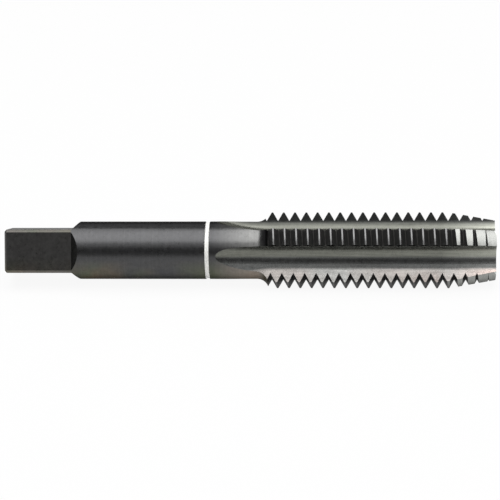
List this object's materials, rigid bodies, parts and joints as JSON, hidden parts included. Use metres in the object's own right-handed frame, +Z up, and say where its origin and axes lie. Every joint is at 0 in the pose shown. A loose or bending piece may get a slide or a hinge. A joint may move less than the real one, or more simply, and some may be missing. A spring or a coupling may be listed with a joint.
{
  "type": "thread tap",
  "caption": "Straight-flute hand tap with a plug lead, a reduced shank with a white colour ring, and a square drive end.",
  "frame": {"origin": "on the tap's axis, in the plane of the drive end's face", "axes": "+X along the tap's axis from the drive end to the cutting tip; +Z up as the tap lies at rest on two neighbouring lands, with one flute straight down; Y across"},
  "size_m": [0.0913, 0.0122, 0.0122],
  "materials": {
    "oxide_steel": "steam-oxide black over ground tool steel, satin",
    "ring_enamel": "white enamel, satin"
  },
  "bodies": {
    "root": {"tap_body": "oxide_steel", "colour_ring": "ring_enamel"}
  },
  "joints": []
}
